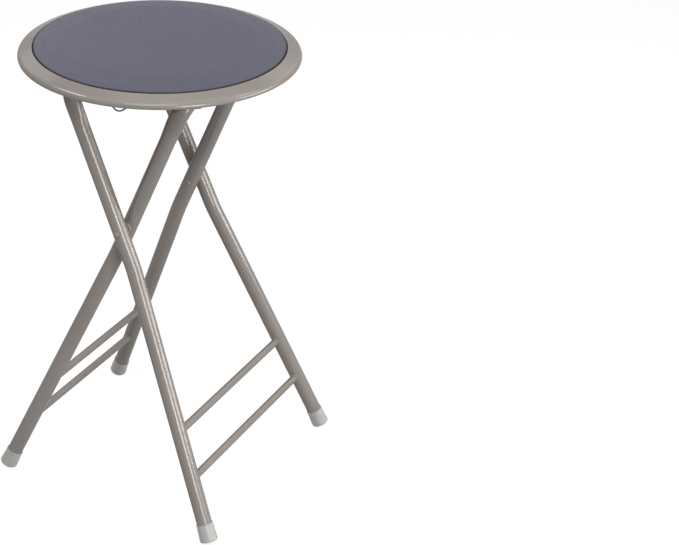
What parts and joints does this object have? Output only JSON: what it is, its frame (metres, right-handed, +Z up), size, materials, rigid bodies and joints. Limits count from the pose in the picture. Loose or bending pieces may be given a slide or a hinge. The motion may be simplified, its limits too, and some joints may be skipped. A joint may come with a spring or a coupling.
{
  "type": "folding bar stool",
  "caption": "Folding bar stool: two crossed bent-tube frames with rungs under a round crowned vinyl seat in a painted steel rim.",
  "frame": {"origin": "on the floor under the middle of the round seat, at the centre of the bounding box's base", "axes": "+Z up; the frames fold along X, with the wider frame's feet at +X; +Y along the pivot rivets and crossbars"},
  "size_m": [0.3511, 0.351, 0.6074],
  "materials": {
    "frame_paint": "satin taupe-grey metallic paint",
    "vinyl": "smooth soft-sheen vinyl",
    "plywood": "bare plywood",
    "foot_plastic": "soft grey slightly translucent plastic",
    "zinc_steel": "zinc-plated pressed steel",
    "dark_wire": "black lacquered spring wire",
    "nylon": "natural nylon"
  },
  "bodies": {
    "inner_frame": {"inner_frame_tube": "frame_paint", "inner_upper_rung": "frame_paint", "inner_lower_rung": "frame_paint", "inner_foot_near": "foot_plastic", "inner_foot_far": "foot_plastic", "pivot_rivet_near": "frame_paint", "pivot_rivet_far": "frame_paint", "pivot_washer_near": "nylon", "pivot_washer_far": "nylon"},
    "outer_frame": {"outer_frame_tube": "frame_paint", "outer_upper_rung": "frame_paint", "outer_lower_rung": "frame_paint", "outer_foot_near": "foot_plastic", "outer_foot_far": "foot_plastic"},
    "seat": {"seat_rim": "frame_paint", "hinge_clip_near": "frame_paint", "hinge_clip_far": "frame_paint", "crossbar_catch_near": "frame_paint", "crossbar_catch_far": "frame_paint", "board_tabs": "frame_paint", "seat_cushion": "vinyl", "seat_board": "plywood", "hinge_clip_screws": "zinc_steel", "catch_screws": "zinc_steel", "board_tab_screws": "zinc_steel", "bail_eye_near": "zinc_steel", "bail_eye_far": "zinc_steel"},
    "bail": {"latch_bail": "dark_wire"}
  },
  "joints": [
    {"name": "frame_fold", "type": "hinge", "parent": "inner_frame", "child": "outer_frame", "pos_m": [-0.0017, 0, 0.382], "axis": [0, 1, 0], "range_deg": [0, 40]},
    {"name": "seat_tilt", "type": "hinge", "parent": "inner_frame", "child": "seat", "pos_m": [0.08009, 0, 0.571], "axis": [0, 1, 0], "range_deg": [0, 111]},
    {"name": "bail_swing", "type": "hinge", "parent": "seat", "child": "bail", "pos_m": [-0.022, 0, 0.577], "axis": [0, 1, 0], "range_deg": [-75, 72]}
  ],
  "couplings": [
    {"joint": "seat_tilt", "follows": "frame_fold", "ratio": 2.775}
  ]
}
